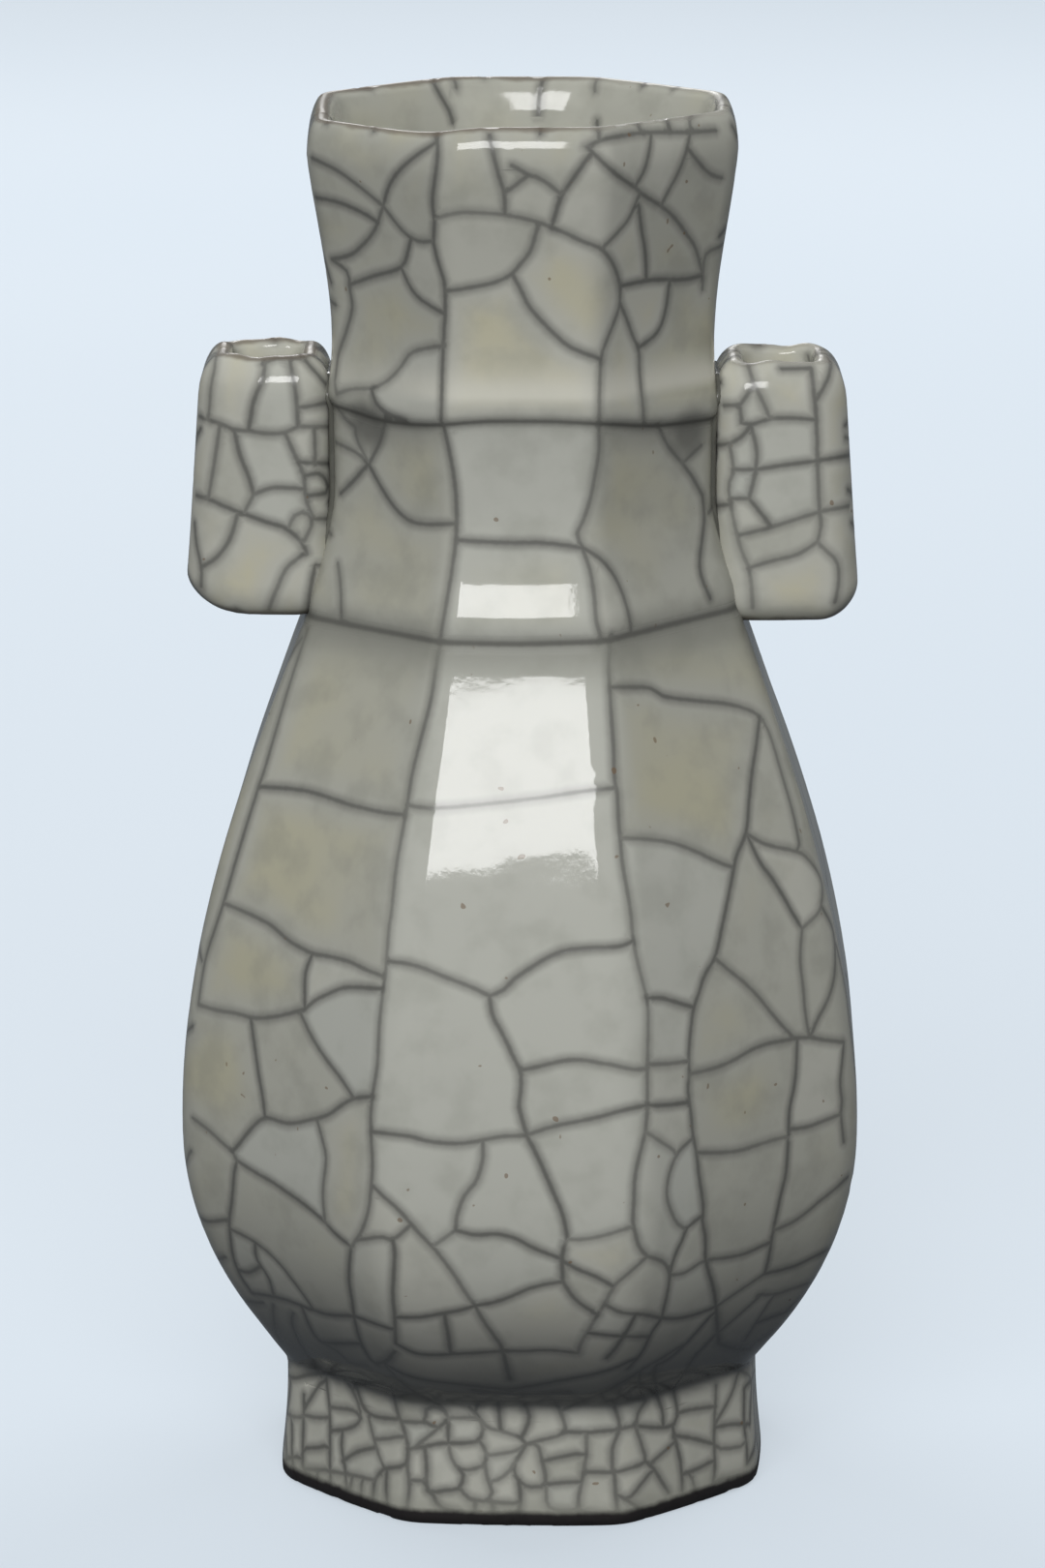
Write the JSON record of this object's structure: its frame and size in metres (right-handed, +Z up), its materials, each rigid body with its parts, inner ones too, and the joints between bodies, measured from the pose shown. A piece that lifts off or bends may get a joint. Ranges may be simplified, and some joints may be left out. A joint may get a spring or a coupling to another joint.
{
  "type": "twin-handled vase",
  "caption": "Eight-sided crackle-glazed vase with a pear-shaped belly, ringed neck, flared mouth and upright tubular handles, for holding flowers.",
  "frame": {"origin": "middle of the resting face of the foot, on the surface that the vase stands on", "axes": "+Z up along the vase's axis, handles at +X and -X, front facing -Y"},
  "size_m": [0.072, 0.072, 0.148],
  "materials": {
    "glaze": "grey-beige crackle glaze, glossy",
    "foot_glaze": "finer crackle glaze, bare dark rim underneath",
    "lute_clay": "thin glaze over joining clay"
  },
  "bodies": {
    "root": {"foot_ring": "foot_glaze", "floor_slab": "glaze", "lower_belly": "glaze", "upper_belly": "glaze", "lower_string": "glaze", "lower_neck": "glaze", "upper_string": "glaze", "upper_neck": "glaze", "mouth_rim": "glaze", "handle_tube_right": "glaze", "handle_tube_left": "glaze", "handle_lute_right": "lute_clay", "handle_lute_left": "lute_clay"}
  },
  "joints": []
}
